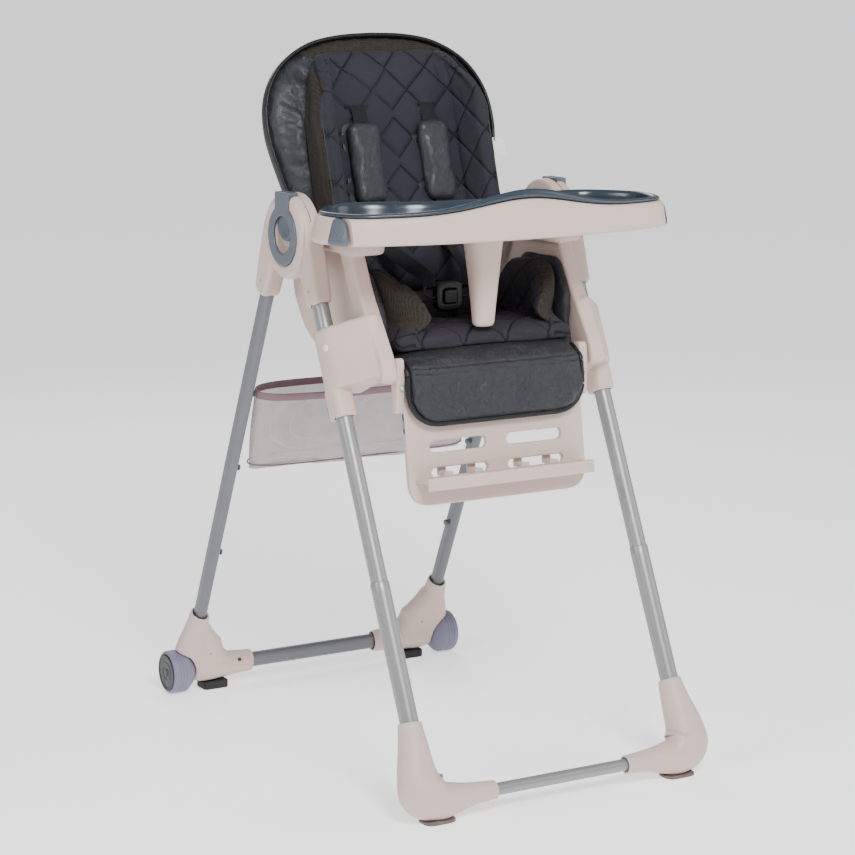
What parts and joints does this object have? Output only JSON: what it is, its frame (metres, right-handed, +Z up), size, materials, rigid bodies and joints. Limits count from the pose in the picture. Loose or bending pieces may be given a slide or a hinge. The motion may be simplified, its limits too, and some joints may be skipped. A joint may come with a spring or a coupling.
{
  "type": "baby high chair",
  "caption": "Folding baby high chair on an A-frame: reclining padded seat, height setting, leg rest, foot step, lift-off tray, storage net and rear wheels.",
  "frame": {"origin": "on the floor, under the middle of the chair's overall box", "axes": "+Z up, -Y the way the child faces, +X towards the child's left, which is the viewer's right from the front"},
  "size_m": [0.573, 0.8232, 1.0674],
  "materials": {
    "taupe_plastic": "satin moulded, warm taupe",
    "slate_plastic": "satin moulded, slate grey",
    "tray_plastic": "glossy, deep blue grey",
    "wheel_plastic": "satin, lavender grey",
    "buckle_plastic": "satin black",
    "front_tube": "silver grey paint on steel tube",
    "rear_tube": "darker silver grey paint on steel tube",
    "steel": "turned",
    "pad_rubber": "matt black",
    "leatherette": "fine-grained charcoal leatherette",
    "quilted_fabric": "quilted charcoal knit",
    "basket_mesh": "open net with a mauve brown hem",
    "webbing": "woven black polyester"
  },
  "bodies": {
    "front_frame": {"front_leg_upper_right": "front_tube", "front_leg_upper_left": "front_tube", "front_leg_lower_right": "front_tube", "front_leg_lower_left": "front_tube", "front_cross_tube": "front_tube", "front_foot_right": "taupe_plastic", "front_foot_left": "taupe_plastic", "front_pad_right": "pad_rubber", "front_pad_left": "pad_rubber", "front_hub_shell_right": "taupe_plastic", "front_hub_shell_left": "taupe_plastic", "hub_axle_right": "steel", "hub_axle_left": "steel"},
    "rear_frame": {"rear_leg_right": "rear_tube", "rear_leg_left": "rear_tube", "rear_cross_tube": "rear_tube", "rear_foot_right": "taupe_plastic", "rear_foot_left": "taupe_plastic", "rear_pad_right": "pad_rubber", "rear_pad_left": "pad_rubber", "rear_hub_shell_right": "taupe_plastic", "rear_hub_shell_left": "taupe_plastic", "hub_bezel_right": "slate_plastic", "hub_bezel_left": "slate_plastic", "storage_basket": "basket_mesh", "wheel_axle_right": "steel", "wheel_axle_left": "steel"},
    "wheel_right": {"rear_wheel_right": "wheel_plastic", "wheel_cap_right": "slate_plastic"},
    "wheel_left": {"rear_wheel_left": "wheel_plastic", "wheel_cap_left": "slate_plastic"},
    "release_right": {"hub_release_right": "slate_plastic"},
    "release_left": {"hub_release_left": "slate_plastic"},
    "seat": {"seat_carrier_right": "taupe_plastic", "seat_carrier_left": "taupe_plastic", "seat_pan": "taupe_plastic", "seat_pad": "leatherette", "seat_liner": "quilted_fabric", "crotch_strap": "webbing", "buckle": "buckle_plastic"},
    "latch_right": {"height_latch_right": "slate_plastic"},
    "latch_left": {"height_latch_left": "slate_plastic"},
    "buckle_press": {"buckle_button": "buckle_plastic"},
    "backrest": {"back_shell": "taupe_plastic", "back_pad": "leatherette", "back_liner": "quilted_fabric", "shoulder_pad_right": "leatherette", "shoulder_pad_left": "leatherette"},
    "recline_grip": {"recline_handle": "slate_plastic"},
    "legrest": {"legrest_panel": "taupe_plastic", "calf_pad": "leatherette"},
    "step": {"foot_step": "taupe_plastic"},
    "tray": {"tray_base": "taupe_plastic", "crotch_post": "taupe_plastic"},
    "insert": {"tray_insert": "tray_plastic"},
    "tray_release_right": {"tray_latch_right": "slate_plastic"},
    "tray_release_left": {"tray_latch_left": "slate_plastic"}
  },
  "joints": [
    {"name": "fold", "type": "hinge", "parent": "front_frame", "child": "rear_frame", "pos_m": [0, 0.0016, 0.786], "axis": [1, 0, 0], "range_deg": [-46, 0]},
    {"name": "wheel_spin_right", "type": "hinge", "parent": "rear_frame", "child": "wheel_right", "pos_m": [0.25, 0.3766, 0.0356], "axis": [1, 0, 0], "continuous": true},
    {"name": "wheel_spin_left", "type": "hinge", "parent": "rear_frame", "child": "wheel_left", "pos_m": [-0.25, 0.3766, 0.0356], "axis": [1, 0, 0], "continuous": true},
    {"name": "hub_press_right", "type": "slide", "parent": "rear_frame", "child": "release_right", "axis": [0, 0, 1], "range_m": [0, 0.006], "stiffness_N_per_m": 800},
    {"name": "hub_press_left", "type": "slide", "parent": "rear_frame", "child": "release_left", "axis": [0, 0, 1], "range_m": [0, 0.006], "stiffness_N_per_m": 800},
    {"name": "seat_height", "type": "slide", "parent": "front_frame", "child": "seat", "axis": [0, -0.4179, -0.9085], "range_m": [0, 0.2]},
    {"name": "height_squeeze_right", "type": "slide", "parent": "seat", "child": "latch_right", "axis": [0, -0.9085, 0.4179], "range_m": [0, 0.0035], "stiffness_N_per_m": 800},
    {"name": "height_squeeze_left", "type": "slide", "parent": "seat", "child": "latch_left", "axis": [0, -0.9085, 0.4179], "range_m": [0, 0.0035], "stiffness_N_per_m": 800},
    {"name": "buckle_press", "type": "slide", "parent": "seat", "child": "buckle_press", "axis": [0, 1, 0], "range_m": [0, 0.0025], "stiffness_N_per_m": 500},
    {"name": "recline", "type": "hinge", "parent": "seat", "child": "backrest", "pos_m": [0, 0.0316, 0.65], "axis": [1, 0, 0], "range_deg": [-40, 0]},
    {"name": "recline_squeeze", "type": "slide", "parent": "backrest", "child": "recline_grip", "axis": [0, 0.284, 0.9588], "range_m": [0, 0.012], "stiffness_N_per_m": 600},
    {"name": "legrest_tilt", "type": "hinge", "parent": "seat", "child": "legrest", "pos_m": [0, -0.1914, 0.616], "axis": [-1, 0, 0], "range_deg": [0, 70]},
    {"name": "step_pull", "type": "slide", "parent": "legrest", "child": "step", "axis": [0, -0.9885, 0.1513], "range_m": [0, 0.025]},
    {"name": "tray_slide", "type": "slide", "parent": "seat", "child": "tray", "axis": [0, -1, 0], "range_m": [0, 0.05]},
    {"name": "insert_lift", "type": "slide", "parent": "tray", "child": "insert", "axis": [0, 0, 1], "range_m": [0, 0.1]},
    {"name": "tray_squeeze_right", "type": "slide", "parent": "tray", "child": "tray_release_right", "axis": [-1, 0, 0], "range_m": [0, 0.004], "stiffness_N_per_m": 600},
    {"name": "tray_squeeze_left", "type": "slide", "parent": "tray", "child": "tray_release_left", "axis": [1, 0, 0], "range_m": [0, 0.004], "stiffness_N_per_m": 600}
  ]
}
